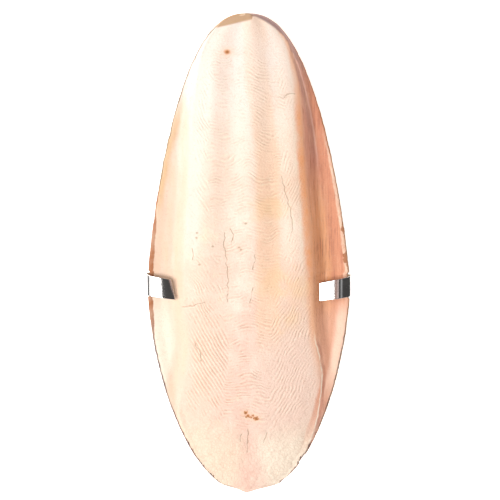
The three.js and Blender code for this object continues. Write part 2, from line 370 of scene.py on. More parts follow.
def chamber_phase(x, y):
    """The thin walls between the chambers, which show on the belly as fine lines."""
    bend = 0.055 * x**2 - 1.6 * bell(x, SULCUS_WIDTH)
    return (y - bend + layered_hills(x, y, CHAMBER_DRIFT)) / CHAMBER_PITCH


def soft_side(x, y, side, v):
    """The chalky belly: a smooth last chamber, a striped field with a groove, and a cup at the tail."""
    belly_share = BELLY_SHARE - BELLY_NARROWING_AT_TAIL * ease(v, 0.2, 0.9)
    in_belly = 1 - np.minimum(side / belly_share, 1) ** BELLY_ROUNDNESS
    closing = np.sqrt(1 - np.abs(v) ** 60)
    head_rise = BELLY_RISE * np.maximum(-0.15 - v, 0) ** 1.9
    tail_rise = BELLY_RISE * np.maximum(v - 0.1, 0) ** 1.5
    depth = edge_height(v) - EDGE_UPTURN - EDGE_THICKNESS / 2 - (BELLY_CLEARANCE + head_rise + tail_rise)
    chamber_edge = LAST_CHAMBER_Y + 0.06 * x**2 + 0.4 * hills(x, y * 0, 3, 21)
    last_chamber = LAST_CHAMBER_STEP * (1 - ease(y, chamber_edge - 0.8, chamber_edge + 0.8))
    sulcus = SULCUS_DEPTH * bell(x, SULCUS_WIDTH) * within(y, *SULCUS_STATIONS)
    cup = CUP_DEPTH * bell(x, CUP_HALF_WIDTH) * bell(y - CUP_Y, CUP_HALF_LENGTH)
    striped = ease(y, chamber_edge, chamber_edge + 3) * ease(v, 0.95, 0.85)
    walls = CHAMBER_RELIEF * np.cos(2 * math.pi * chamber_phase(x, y)) * striped
    dents = 0.1 * np.maximum(hills(x, y, 6, 22) - 0.3, 0) + 0.04 * hills(x, y, 2, 23)
    relief = (sulcus + cup - last_chamber + walls + dents) * in_belly * closing
    face = flange_height(side, v) - half_thickness(side, v) - depth * in_belly * closing + relief
    from_strip = np.abs(y - STRIP_Y + STRIP_SLANT * x)
    groove = ease(STRIP_WIDTH / 2 + CLEARANCE + GROOVE_MARGIN - from_strip, 0, 0.3)
    pressed = np.maximum(face, strip_top(x) + CLEARANCE)
    return face + (pressed - face) * groove * (side < belly_share)


# The skin: rings of points round the bone, closer together toward the tips and the edges
ROWS = 560
TOP_COLUMNS = 112
BELLY_COLUMNS = 58
RING = TOP_COLUMNS + BELLY_COLUMNS
TIP_CROWDING = 0.45
EDGE_CROWDING = 0.3
EDGE_RAGS = ((0.10, 2.3, 31), (0.06, 0.8, 32))
CRUMBLE = 0.45
NOSE_X = -1.0
NOSE_WIDTH = 2.4
NOSE_LENGTH = 0.9


def ring_shares():
    """Where a ring's points stand: from the left edge over the top to the right edge, and back below."""
    over_top = np.linspace(-1, 1, TOP_COLUMNS + 1)[:-1]
    under_belly = np.linspace(1, -1, BELLY_COLUMNS + 1)[:-1]
    even = np.concatenate([over_top, under_belly])
    return (1 - EDGE_CROWDING) * even + EDGE_CROWDING * np.sin(even * math.pi / 2)


def edge_loss(y, across):
    """What is missing at the edge: it is slightly ragged, crumbled by the head tip, bitten by the strip."""
    sign = np.sign(across)
    # The two edges read the hills far apart, so that they aren't chipped alike
    this_side = sign * 40
    ragged = layered_hills(y, this_side, EDGE_RAGS)
    crumbled = CRUMBLE * hills(y + sign * 3, this_side, 1.5, 33) * ease(-y, 56, 66) * (across > -0.2)
    chips = np.minimum(ragged + crumbled - 0.1, 0) * ease(half_width(y), 0, 4)
    from_strip = np.abs(y - STRIP_Y + STRIP_SLANT * sign * 31)
    return EDGE_BITE * ease(STRIP_WIDTH / 2 + 1 - from_strip, 0, 0.5) - chips


turn = np.linspace(0, math.pi, ROWS + 1)
row_y = HALF_LENGTH * (TIP_CROWDING * np.cos(turn) + (1 - TIP_CROWDING) * (1 - 2 * turn / math.pi))
y, across = np.meshgrid(row_y[1:-1], ring_shares(), indexing="ij")
on_top = np.broadcast_to(np.arange(RING) < TOP_COLUMNS, y.shape)
v = y / HALF_LENGTH
side = np.abs(across)
x = half_width(y) * across
z = np.where(on_top, hard_side(x, y, side, v), soft_side(x, y, side, v))
x = x - edge_loss(y, across) * across
# The head end comes to a small blunt nose
y = y + NOSE_LENGTH * (1 - bell(x - NOSE_X, NOSE_WIDTH)) * ease(-v, 0.955, 1)
tips = [(0, HALF_LENGTH, edge_height(1)), (NOSE_X, -HALF_LENGTH, edge_height(-1))]
points = np.concatenate([np.stack([x, y, z], -1).reshape(-1, 3), np.array(tips, float)]) * MM

first_ring = np.arange(RING)
last_ring = first_ring + RING * (ROWS - 2)
tail_tip, head_tip = len(points) - 2, len(points) - 1
corner = np.arange(RING * (ROWS - 2)).reshape(ROWS - 2, RING)
beside = np.roll(corner, -1, axis=1)
quads = np.stack([corner, corner + RING, beside + RING, beside], -1).reshape(-1, 4)
tail_fan = np.stack([np.full(RING, tail_tip), first_ring, np.roll(first_ring, -1)], -1)
head_fan = np.stack([np.full(RING, head_tip), np.roll(last_ring, -1), last_ring], -1)
bone_mesh = bpy.data.meshes.new("cuttlebone_skin")
bone_mesh.from_pydata(points.tolist(), [], quads.tolist() + tail_fan.tolist() + head_fan.tolist())
bone_mesh.shade_smooth()


def store(name, values, at_tips=0.0):
    """Keeps a number for each point of the bone, which its material reads."""
    numbers = np.append(values.reshape(-1), [at_tips, at_tips]).astype(np.float32)
    bone_mesh.attributes.new(name, "FLOAT", "POINT").data.foreach_set("value", numbers)


past_crack, from_crack = beside_lines(CRACKS, x, y, CRACK_WOBBLE)
past_lip, from_lip = beside_lines([LIP], x, y, LIP_WOBBLE)
store("growth", growth_phase(x, y))
store("limbs", limb_phase(x, y))
store("limb_share", limb_share(x, y))
store("chambers", chamber_phase(x, y))
store("hard", on_top.astype(float))
store("to_edge", half_width(y) * (1 - side))
store("width_here", half_width(y))
store("body_side", np.abs(x) / np.maximum(shoulder_x(x, y), 0.5), 2.0)
store("past_crack", np.clip(past_crack, -2, 2))
store("from_crack", np.minimum(np.where(on_top, from_crack, 5), 5))
store("past_lip", np.where(on_top & (from_lip < 4), past_lip, 5))
store("from_lip", np.where(on_top, from_lip, 5))
store("gable", np.where(on_top, inside_gable(x, y), 5))

bone = bpy.data.objects.new("cuttlebone_grown", bone_mesh)
bpy.context.scene.collection.objects.link(bone)


class Wire:
    """What comes out of one socket in a material. Sums on wires add the nodes that work them out."""

    def __init__(self, socket):
        self.socket = socket

    def node(self, kind, settings, sockets, output=0):
        """Adds a node, sets it, feeds it values and wires, and gives what comes out of it."""
        made = self.socket.id_data.nodes.new("ShaderNode" + kind)
        for name, value in settings.items():
            setattr(made, name, value)
        for name, value in sockets.items():
            if isinstance(value, Wire):
                value.feed(made.inputs[name])
            else:
                made.inputs[name].default_value = value
        return Wire(made.outputs[output])

    def feed(self, socket):
        self.socket.id_data.links.new(self.socket, socket)

    def math(self, operation, *values):
        return self.node("Math", {"operation": operation}, dict(enumerate(values)))

    def __add__(self, other):
        return self.math("ADD", self, other)

    def __sub__(self, other):
        return self.math("SUBTRACT", self, other)

    def __rsub__(self, other):
        return self.math("SUBTRACT", other, self)

    def __mul__(self, other):
        return self.math("MULTIPLY", self, other)

    def __truediv__(self, other):
        return self.math("DIVIDE", self, other)

    def __neg__(self):
        return self.math("SUBTRACT", 0, self)

    def __abs__(self):
        return self.math("ABSOLUTE", self)

    __radd__ = __add__
    __rmul__ = __mul__

    def rise(self, low, high):
        """Runs smoothly from 0 where this is low to 1 where it is high."""
        kind = {"interpolation_type": "SMOOTHSTEP"}
        return self.node("MapRange", kind, {"Value": self, "From Min": low, "From Max": high})

    def within(self, start, full, fall, end):
        """Rises from 0 at start to 1 at full, and falls from 1 at fall to 0 at end."""
        return self.rise(start, full) * self.rise(end, fall)

    def wave(self):
        """A wave that comes round each time this grows by 1."""
        return self.math("SINE", self * (2 * math.pi))

    def blend(self, under, over):
        """Colour `under`, with `over` laid on it as far as this mask says."""
        return self.node("Mix", {"data_type": "RGBA"}, {0: self, 6: under, 7: over}, 2)

    def noise(self, size, detail=2.0, roughness=0.5, stretch=(1, 1, 1)):
        """Cloudy noise, `size` millimetres across, centred on 0."""
        scale = tuple(1 / (size * MM * s) for s in stretch)
        spot = self.node("VectorMath", {"operation": "MULTIPLY"}, {0: self, 1: scale})
        cloud = {"Vector": spot, "Scale": 1.0, "Detail": detail, "Roughness": roughness}
        return self.node("TexNoise", {}, cloud) - 0.5

    def bump(self, depth):
        """A normal from this height, which stands for `depth` millimetres."""
        return self.node("Bump", {}, {"Height": self, "Distance": depth * MM, "Strength": 1.0})


def paint(name):
    """An empty material, with its shader and a wire that carries each point's place."""
    material = bpy.data.materials.new(name)
    material.use_nodes = True
    nodes = material.node_tree.nodes
    return material, nodes["Principled BSDF"], Wire(nodes.new("ShaderNodeTexCoord").outputs["Object"])


def colour(red, green, blue):
    """A colour given as on a screen, 0 to 255, in linear light."""
    shares = (red / 255, green / 255, blue / 255)
    return (*(s / 12.92 if s < 0.0405 else ((s + 0.055) / 1.055) ** 2.4 for s in shares), 1)


bone_paint, shader, place = paint("cuttlebone_chalk")


def kept(name):
    """A number that each point of the bone keeps."""
    return place.node("Attribute", {"attribute_name": name}, {}, "Fac")


across_mm = place.node("SeparateXYZ", {}, {"Vector": place}, "X") * (1 / MM)
along_mm = place.node("SeparateXYZ", {}, {"Vector": place}, "Y") * (1 / MM)
on_hard = kept("hard").rise(0.4, 0.6)
to_edge = kept("to_edge")
rim_share = to_edge / kept("width_here")
body_side = kept("body_side")
broad = place.noise(16, 3)
patchy = place.noise(5, 4, 0.6)
streaky = place.noise(4, 4, 0.6, stretch=(0.5, 3, 1))
threads = place.noise(1.1, 3, 0.65, stretch=(0.6, 12, 0.6))
fine = place.noise(0.7, 3, 0.6)
grit = place.noise(0.25, 2, 0.7)
right = across_mm.rise(-1, 1)
left = 1 - right
headward = along_mm.rise(30, -30)
low_right = right * along_mm.rise(-10, -20)

# The hard side is chalk white at the tail and blushes pink toward the head, warmer on the right
CHALK = colour(244, 225, 209)
BLUSH = colour(238, 203, 186)
TAIL_WHITE = colour(246, 234, 226)
BUFF = colour(236, 208, 187)
APRICOT = colour(241, 207, 177)
TIP_CREAM = colour(246, 222, 198)
PAINTED_LIGHT_IVORY = colour(255, 246, 228)
blush = (broad * 2.0 + patchy * 1.2 + headward * 0.6 + 0.22).rise(0.1, 0.95)
blush = blush * (1 - along_mm.rise(6, 34) * across_mm.rise(6, -2) * 0.8) * (1 - low_right * 0.3)
hard_colour = blush.blend(CHALK, BLUSH)
hard_colour = (along_mm.rise(28, 62) * 0.75).blend(hard_colour, TAIL_WHITE)
left_tone = left * body_side.rise(0.2, 0.75) * along_mm.rise(40, 12)
hard_colour = (left_tone * (0.7 + patchy)).blend(hard_colour, BUFF)
hard_colour = (across_mm.rise(-6, 16) * (0.3 + broad) * along_mm.rise(-30, -10)).blend(hard_colour, APRICOT)
tip_cream = (along_mm + broad * 16).rise(-48, -60)
hard_colour = (tip_cream * 0.8).blend(hard_colour, TIP_CREAM)
# Painted light: the right of the head tip is lifted toward ivory where it lies in shade
hard_colour = (tip_cream * right * 0.5).blend(hard_colour, PAINTED_LIGHT_IVORY)

# Warm painted shade lies in cloudy patches in the furrows between the ribs, on the slopes turned from the
# key, and cream and golden clouds lie over the body
FURROW_SHADE_PEACH = colour(250, 211, 181)
LEFT_FURROW_SHADE_PEACH = colour(240, 212, 192)
BUTTER = colour(250, 234, 206)
from_furrow = across_mm - 6.0 + along_mm.rise(30, 64) * 3.6 + patchy * 2
furrow_shade = abs(from_furrow).rise(4.6, 2.4) * along_mm.rise(-34, -10) * (1 - along_mm.rise(28, 56) * 0.5)
hard_colour = (furrow_shade * (0.75 + broad)).blend(hard_colour, FURROW_SHADE_PEACH)
left_furrow_shade = abs(across_mm + 7.5 + patchy * 3).rise(4.5, 1.0) * along_mm.rise(-50, -10)
hard_colour = (left_furrow_shade * (0.3 + broad)).blend(hard_colour, LEFT_FURROW_SHADE_PEACH)
cream_patch = (patchy * 1.4 - broad * 1.2 + streaky * 0.6).rise(0.12, 0.6) * along_mm.rise(46, 20)
hard_colour = (cream_patch * 0.55).blend(hard_colour, BUTTER)
golden = (patchy + broad * 0.6).rise(0.08, 0.3) * across_mm.rise(0, 8) * along_mm.rise(-34, -8)
hard_colour = (golden * along_mm.rise(30, 10) * 0.5).blend(hard_colour, APRICOT)

# The right flank, turned from the key, in painted shade: an orange shoulder, a mauve wall and a salmon valley
# under the body's painted shadow, all finely streaked
SHADE_ORANGE = colour(236, 170, 124)
BRIGHT_ORANGE_SHADE = colour(242, 164, 110)
SHADE_MAUVE = colour(214, 149, 128)
SHADOW_SALMON = colour(218, 148, 116)
DARK_STREAK = colour(184, 116, 94)
LIGHT_STREAK = colour(246, 196, 160)
# Painted shade where the body's shoulder and wall turn from the key
shoulder = (body_side + streaky * 0.06).rise(0.86, 1.0) * right * along_mm.rise(-48, -22)
hard_colour = (shoulder * (0.7 + streaky * 0.8)).blend(hard_colour, SHADE_ORANGE)
orange_shade_band = abs(body_side - 0.96 + streaky * 0.08).rise(0.11, 0.02) * right
orange_shade_band = orange_shade_band * along_mm.within(-16, 0, 40, 58)
hard_colour = (orange_shade_band * (0.5 + patchy * 1.6)).blend(hard_colour, BRIGHT_ORANGE_SHADE)
wall = (body_side + streaky * 0.05).rise(0.98, 1.08) * right * along_mm.rise(-30, -8)
wall_shade_colour = along_mm.rise(12, 34).blend(SHADE_ORANGE, SHADE_MAUVE)
hard_colour = (wall * (0.85 + streaky * 0.6)).blend(hard_colour, wall_shade_colour)
tail_narrowing = along_mm.rise(24, 62) * 0.12
# Painted shadow: the body's shadow over the valley beside it
valley = (rim_share + tail_narrowing + streaky * 0.05).rise(0.20, 0.15) * right * along_mm.rise(-66, -40)
hard_colour = (valley * (0.9 + streaky * 0.5)).blend(hard_colour, SHADOW_SALMON)
streaked = body_side.rise(0.98, 1.06) * right * along_mm.rise(-62, -30)
hard_colour = ((threads + patchy * 0.4).rise(0.0, 0.22) * streaked * 0.7).blend(hard_colour, DARK_STREAK)
hard_colour = ((-threads).rise(0.02, 0.22) * streaked * 0.5).blend(hard_colour, LIGHT_STREAK)

# Its fine ridge near the tail, with painted shade beside it, a painted highlight on the pale rim where it
# turns up toward the key, and the flange, partly in painted shade beside the body
RIDGE_PINK = colour(244, 206, 188)
RIDGE_SHADE = colour(190, 140, 126)
RIM_HIGHLIGHT_CREAM = colour(252, 230, 206)
FLANGE_PINK_SHADE = colour(234, 178, 150)
PALE_FLANGE = colour(248, 214, 192)
from_ridge = rim_share - (1 - FLANK_RIDGE_SHARE) + (along_mm - FLANK_RIDGE_Y) * FLANK_RIDGE_DRIFT
ridge_line = abs(from_ridge + threads * 0.004).rise(0.016, 0.005) * right * along_mm.within(26, 40, 62, 66)
hard_colour = (ridge_line * (0.6 + streaky)).blend(hard_colour, RIDGE_PINK)
ridge_shade = abs(from_ridge - 0.04).rise(0.05, 0.01) * right * along_mm.within(24, 40, 60, 68)
hard_colour = (ridge_shade * (0.6 + threads * 1.5)).blend(hard_colour, RIDGE_SHADE)
rim_highlight = (rim_share + patchy * 0.05 + threads * 0.02).rise(0.055, 0.035) * right
rim_highlight = rim_highlight * along_mm.within(-20, 0, 26, 44)
hard_colour = (rim_highlight * (0.6 + patchy * 1.6 + fine)).blend(hard_colour, RIM_HIGHLIGHT_CREAM)
# Painted shade, partly the bone's own pink: the flange beside the body at the lower right
pink_flange_shade = (body_side + streaky * 0.1).rise(1.0, 1.1) * low_right
hard_colour = (pink_flange_shade * (0.75 + streaky)).blend(hard_colour, FLANGE_PINK_SHADE)
pale_flange = (rim_share + streaky * 0.08).rise(0.15, 0.08) * low_right * along_mm.rise(-48, -34)
hard_colour = (pale_flange * 0.8).blend(hard_colour, PALE_FLANGE)

# The left flank is paler: apricot at its wall, a painted highlight along the shoulder that faces the key,
# cream and tan outside
SHOULDER_HIGHLIGHT_WHITE = colour(238, 223, 211)
CREAM = colour(255, 242, 224)
EDGE_TAN = colour(232, 190, 138)
left_wall = (body_side + streaky * 0.15).rise(0.95, 1.1) * left * along_mm.rise(60, 40)
hard_colour = (left_wall * (0.35 + streaky * 1.6)).blend(hard_colour, APRICOT)
left_shoulder_highlight = abs(body_side - 0.93).rise(0.2, 0.05) * left * along_mm.rise(-4, 10)
hard_colour = (left_shoulder_highlight * 0.7).blend(hard_colour, SHOULDER_HIGHLIGHT_WHITE)
left_flange = (body_side + streaky * 0.1).rise(1.15, 1.3) * left * along_mm.rise(-2, -22)
hard_colour = (left_flange * 0.8).blend(hard_colour, CREAM)
left_tan = (2.0 + patchy * 2 - to_edge).rise(-0.9, 0.9) * left * along_mm.within(12, 22, 38, 52)
hard_colour = (left_tan * (0.7 + streaky)).blend(hard_colour, EDGE_TAN)

# The belly, then a fine mottle of chalk grains over the hard side and the soft side alike
BELLY_SHADE = colour(226, 204, 180)
BELLY_CHALK = colour(240, 226, 206)
DARK_GRAIN = colour(222, 178, 150)
PALE_GRAIN = colour(255, 250, 240)
soft_colour = (broad * 1.2 + patchy + 0.4).rise(0, 1).blend(BELLY_CHALK, BELLY_SHADE)
bone_colour = on_hard.blend(soft_colour, hard_colour)
grains = fine * 1.6 + grit * 1.2
bone_colour = (grains.rise(0.0, 0.9) * 0.8).blend(bone_colour, DARK_GRAIN)
pale_grains = (-grains).rise(0.1, 0.9) * body_side.rise(1.05, 0.9)
bone_colour = (pale_grains * 0.8).blend(bone_colour, PALE_GRAIN)

# Growth lines: fine pale and darker threads, clear in patches and at the lower left, and the
# chamber walls on the belly
TAIL_THREAD = colour(222, 184, 156)
HEAD_THREAD = colour(220, 164, 132)
PALE_THREAD = colour(255, 244, 214)
CHAMBER_WALL = colour(214, 186, 158)
jitter = patchy * 0.5 + fine * 0.25
across_wave = (kept("growth") + jitter).wave()
limb_wave = (kept("limbs") + jitter).wave()
lines = across_wave + kept("limb_share") * (limb_wave - across_wave)
line_patch = (broad * 1.2 + place.noise(3, 3, 0.6) * 2.6 + 0.35).rise(0, 0.9) * to_edge.rise(3, 8)
clear_lines = along_mm.within(-46, -38, -24, -18) * across_mm.within(-19, -16, -8, -4)
line_patch = line_patch.math("MAXIMUM", line_patch, clear_lines * (0.9 + patchy))
on_body = along_mm.within(-58, -46, 62, 70) * body_side.rise(1.05, 0.85)
thread = (lines + fine * 1.4) * line_patch * on_body * (1 - kept("limb_share") * right * 0.35)
thread_strength = 0.20 + along_mm.rise(0, -30) * (0.10 + left * 0.18)
thread_colour = headward.blend(TAIL_THREAD, HEAD_THREAD)
bone_colour = (thread.rise(0.0, 1) * on_hard * thread_strength).blend(bone_colour, thread_colour)
bone_colour = ((-thread).rise(0.0, 1) * on_hard * 0.28).blend(bone_colour, PALE_THREAD)
walls = kept("chambers").wave()
striped = along_mm.rise(LAST_CHAMBER_Y - 1, LAST_CHAMBER_Y + 4) * (1 - on_hard)
bone_colour = (walls.rise(0.1, 1) * striped * 0.3).blend(bone_colour, CHAMBER_WALL)

# The horny rim: an amber band by the strip on the left, ragged bits on the right, dashes round the
# head tip, and elsewhere a thin dark line
AMBER = colour(176, 112, 74)
OLIVE_HORN = colour(150, 126, 100)
DARK_HORN = colour(104, 76, 72)
left_band = left * along_mm.within(-26, -16, 8, 16)
right_bits = right * along_mm.within(-4, 0, 8, 12) * patchy.rise(-0.05, 0.1)
low_edge = along_mm.rise(-14, -28)
tip_dashes = along_mm.rise(-50, -60) * (threads * 2.0 + patchy)
rim_width = 0.34 + patchy * 0.5 + left_band * (1.0 + patchy) + right_bits * 1.1 + low_edge * 0.12 + tip_dashes
rim = (rim_width - to_edge).rise(-0.15, 0.15)
rim_colour = (left * along_mm.rise(18, 26)).blend(AMBER, OLIVE_HORN)
rim_colour = low_edge.blend(rim_colour, DARK_HORN)
bone_colour = (rim * (0.85 + patchy)).blend(bone_colour, rim_colour)

# The broken tail end, tan on the left and a painted shade grey on the right where it turns from the key, a
# darker right edge near the tail that is partly horn and partly painted shade, and the rim's underside
SHELL_TAN = colour(196, 156, 118)
END_SHADE_GREY = colour(160, 128, 124)
TAIL_EDGE_HORN_SHADE = colour(172, 132, 124)
UNDER_RIM = colour(226, 190, 150)
end_face = kept("gable").rise(0.35, -0.2) * along_mm.rise(52, 60)
end_colour = (across_mm + patchy * 3).rise(0.2, 4.2).blend(SHELL_TAN, END_SHADE_GREY)
bone_colour = end_face.blend(bone_colour, end_colour)
tail_edge_shade = right * (1.3 + patchy * 1.6 + threads - to_edge).rise(-0.5, 0.5) * along_mm.rise(46, 66)
bone_colour = (tail_edge_shade * (0.75 + threads)).blend(bone_colour, TAIL_EDGE_HORN_SHADE)
under_rim = (3.2 + patchy * 3 - to_edge).rise(-0.6, 0.9) * (1 - on_hard)
bone_colour = (under_rim * 0.8).blend(bone_colour, UNDER_RIM)

# The lip has a painted highlight along it and painted shade under it, and a pink streak runs down to the head
# tip
LIP_SHADE = colour(196, 136, 118)
TIP_PINK = colour(244, 200, 184)
beside_head = along_mm.rise(-20, -28)
lip_highlight = abs(kept("past_lip") + 0.05).rise(0.28, 0.1) * beside_head
lip_highlight = lip_highlight * kept("from_lip").rise(0.8, 0.3) * patchy.rise(-0.2, 0.05)
bone_colour = (lip_highlight * 0.7).blend(bone_colour, PAINTED_LIGHT_IVORY)
lip_shade = abs(kept("past_lip") + 0.75).rise(0.6, 0.15) * kept("from_lip").rise(1.6, 1.0) * beside_head
bone_colour = (lip_shade * (0.55 + patchy * 1.6)).blend(bone_colour, LIP_SHADE)
streak_edge = abs(across_mm - 0.4 + patchy * 2) - 0.8 + (along_mm + 50) * 0.2 + broad * 3
tip_streak = streak_edge.rise(2.4, -2.6) * along_mm.rise(-46, -56) * (0.62 + patchy * 1.2)
bone_colour = (tip_streak * on_hard).blend(bone_colour, TIP_PINK)


def away_from(spot, size, breadth=1.0):
    """The distance from a spot on the bone, 1 at `size` millimetres, for a mark `breadth` times as wide."""
    apart_x, apart_y = (across_mm - spot[0]) / breadth, along_mm - spot[1]
    squares = apart_x * apart_x + apart_y * apart_y
    return squares.math("SQRT", squares) / size


# Golden bloom right of the middle, by the strip
GOLD = colour(246, 204, 150)
GOLD_SPOTS = [((13.0, -18.2), 5.0), ((6.6, 17.5), 6.5), ((7.6, -5.5), 7.0), ((15.5, -9.0), 6.0)]
for spot, size in GOLD_SPOTS:
    bloom = (away_from(spot, size) + patchy * 2.4 + broad).rise(1.1, 0.1) * on_hard * body_side.rise(1.0, 0.9)
    bone_colour = (bloom * 0.36).blend(bone_colour, GOLD)

# Two rusty stains on the middle of the hard side: a neat one by the tail, and a ragged one by the
# head that is made of five spots
LIGHT_RUST = colour(228, 146, 76)
RUST = colour(172, 98, 44)
DARK_RUST = colour(138, 84, 38)
MARK_BREADTH = 1.3
STAIN_SPOTS = [
    ((-6.0, 64.0), 0.95, 0.3), ((-1.1, -47.5), 0.7, 1), ((-0.6, -48.6), 0.65, 1),
    ((0.5, -49.1), 0.55, 1), ((1.0, -48.5), 0.45, 1), ((2.1, -49.4), 0.8, 1),
]
halo, stain, dark_bits = 0.0, 0.0, 0.0
for spot, size, ragged in STAIN_SPOTS:
    away = away_from(spot, size, MARK_BREADTH)
    halo = (away + fine * 0.8 + patchy).rise(2.6, 0.9) + halo
    stain = (away + (fine * 2.6 + grit) * ragged).rise(1.1, 0.35) + stain
    dark_bits = (away + (fine * 3.2 + grit * 2.4) * ragged).rise(0.65, 0.1) + dark_bits
halo = halo.math("MINIMUM", halo, 1.0) * on_hard
stain = stain.math("MINIMUM", stain, 1.0) * on_hard
bone_colour = (halo * 0.35).blend(bone_colour, APRICOT)
stain_colour = (fine + grit).rise(-0.05, 0.25).blend(LIGHT_RUST, RUST)
bone_colour = (stain * (0.85 + fine)).blend(bone_colour, stain_colour)
bone_colour = (dark_bits * on_hard * 0.8).blend(bone_colour, DARK_RUST)

# Cracks, each with a painted highlight on one edge, and painted shade in the cracks and in the pits of a few
# burst grains
CRACK_SHADE = colour(176, 146, 112)
PIT_SPOTS = [(-15.5, 9.4), (-15.7, 7.9), (-14.8, -0.3), (-2.8, 5.1), (-2.2, 4.5), (-0.7, 12.5), (-10.7, 5.4)]
past_crack = kept("past_crack") + fine * 0.35
by_crack = kept("from_crack").rise(0.5, 0.2) * patchy.rise(-0.3, 0.0)
crack_highlight = abs(past_crack - 0.36).rise(0.2, 0.05) * by_crack
bone_colour = (crack_highlight * 0.5).blend(bone_colour, PAINTED_LIGHT_IVORY)
pits = abs(past_crack).rise(0.19, 0.04) * by_crack
for spot in PIT_SPOTS:
    pit = (away_from(spot, 1.0, MARK_BREADTH) + fine * 0.7).rise(0.4, 0.15) * on_hard
    pits = pits.math("MAXIMUM", pits, pit)
bone_colour = (pits * 0.6).blend(bone_colour, CRACK_SHADE)

# The head end is granular, like fine crazed chalk
CRAZE_SHADE = colour(206, 160, 128)
CRAZE_SIZE = 1.1
crazed = place.node(
    "TexVoronoi", {"feature": "DISTANCE_TO_EDGE"}, {"Vector": place, "Scale": 1 / (CRAZE_SIZE * MM)})
crazing = (crazed + fine * 0.15).rise(0.14, 0.02) * (along_mm + broad * 20).rise(-44, -58)
bone_colour = (crazing * on_hard * 0.22 * (0.7 + patchy * 2)).blend(bone_colour, CRAZE_SHADE)

CHALK_RELIEF = 0.11
relief = thread * 0.7 - pits * 1.0 - crazing * 0.35 * on_hard + fine * 1.1 + grit * 0.9
relief = relief + walls * striped * 0.4
shader.inputs["Roughness"].default_value = 0.62
shader.inputs["Specular IOR Level"].default_value = 0.35
bone_colour.feed(shader.inputs["Base Color"])
relief.bump(CHALK_RELIEF).feed(shader.inputs["Normal"])

bone_mesh.materials.append(bone_paint)
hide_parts("cuttlebone")
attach(bone, "root")

# The clip. One strip of thin plated steel, sheared to length and bent by hand: across the back of
# the bone, up past both edges, and folded over on to the hard side.
LEFT_TAB = {"end_x": 23.1, "end_drop": 0.7, "curl": 2.6, "skew": 1.5, "taper": 0.03, "cut": 0.7}
RIGHT_TAB = {"end_x": 21.6, "end_drop": 0.1, "curl": 1.5, "skew": 1.7, "taper": 0.13, "cut": 0}
CORNER_RADIUS = 0.14
CORNER_STEPS = 4
FLAT_HALF = STRIP_WIDTH / 2 - 0.3
CLIMB_STEPS = 60
FOLD_STEPS = 40
TAB_STEPS = 24


def half_strip(bend, tab, sign):
    """The strip's middle line from the belly to one tab's end."""
    out_x = STRIP_END_X - STRIP_THICKNESS / 2
    t = np.linspace(0, 1, CLIMB_STEPS)
    climb_x = STRIP_FLAT_HALF + (out_x - STRIP_FLAT_HALF) * (1 - (1 - t) ** 1.5)
    climb = np.stack([climb_x, strip_middle(climb_x, bend["rise"])], -1)
    turn = np.linspace(0, math.pi / 2, FOLD_STEPS)[1:]
    fold_x = out_x - bend["width"] * (1 - np.cos(turn))
    fold = np.stack([fold_x, bend["rise"] + bend["height"] * np.sin(turn)], -1)
    t = np.linspace(0, 1, TAB_STEPS)[1:]
    tab_x = fold[-1, 0] + (tab["end_x"] - fold[-1, 0]) * t
    flat = np.stack([tab_x, fold[-1, 1] - tab["end_drop"] * t ** tab["curl"]], -1)
    return np.concatenate([climb, fold, flat]) * (sign, 1)


def bar_section():
    """The strip cut across: a flat bar with its corners rounded off."""
    bar = []
    for corner_y, corner_n, from_angle in ((1, 1, 0), (-1, 1, 90), (-1, -1, 180), (1, -1, 270)):
        for step in range(CORNER_STEPS + 1):
            angle = math.radians(from_angle + step * 90 / CORNER_STEPS)
            bar.append((
                corner_y * (STRIP_WIDTH / 2 - CORNER_RADIUS) + CORNER_RADIUS * math.cos(angle),
                corner_n * (STRIP_THICKNESS / 2 - CORNER_RADIUS) + CORNER_RADIUS * math.sin(angle)))
        if corner_y == corner_n:
            # Two more points near the ends of the flat face keep its shine straight
            bar += [(corner_y * FLAT_HALF, corner_n * STRIP_THICKNESS / 2),
                    (-corner_y * FLAT_HALF, corner_n * STRIP_THICKNESS / 2)]
    return np.array(bar)


line = np.concatenate([half_strip(LEFT_BEND, LEFT_TAB, -1)[::-1], half_strip(RIGHT_BEND, RIGHT_TAB, 1)])
run = np.gradient(line, axis=0)
run /= np.linalg.norm(run, axis=1, keepdims=True)
normal = np.stack([-run[:, 1], run[:, 0]], -1)
bar = bar_section()
sections = []
for (line_x, line_z), (normal_x, normal_z) in zip(line, normal):
    # The tabs lie a little askew, narrow toward their ends and are cut off aslant
    bend, tab = (LEFT_BEND, LEFT_TAB) if line_x < 0 else (RIGHT_BEND, RIGHT_TAB)
    inward = (STRIP_END_X - abs(line_x)) / (STRIP_END_X - tab["end_x"]) if line_z > bend["rise"] else 0
    centre_y = STRIP_Y - tab["skew"] * inward - STRIP_SLANT * line_x
    widths, heights = bar[:, 0] * (1 - tab["taper"] * inward), bar[:, 1]
    aslant = tab["cut"] * bar[:, 0] * inward**4 / (STRIP_WIDTH / 2)
    sections.append(np.stack([
        line_x - aslant + normal_x * heights, centre_y + widths, line_z + normal_z * heights], -1))
index = np.arange(len(line) * len(bar)).reshape(len(line), len(bar))
behind, ahead = index[:-1], index[1:]
sides = np.stack([behind, np.roll(behind, -1, 1), np.roll(ahead, -1, 1), ahead], -1).reshape(-1, 4)
ends = [index[0][::-1].tolist(), index[-1].tolist()]
clip_mesh = bpy.data.meshes.new("clip_strip")
clip_mesh.from_pydata((np.concatenate(sections) * MM).tolist(), [], sides.tolist() + ends)
clip_mesh.shade_smooth()
clip = bpy.data.objects.new("clip_bent_strip", clip_mesh)
bpy.context.scene.collection.objects.link(clip)

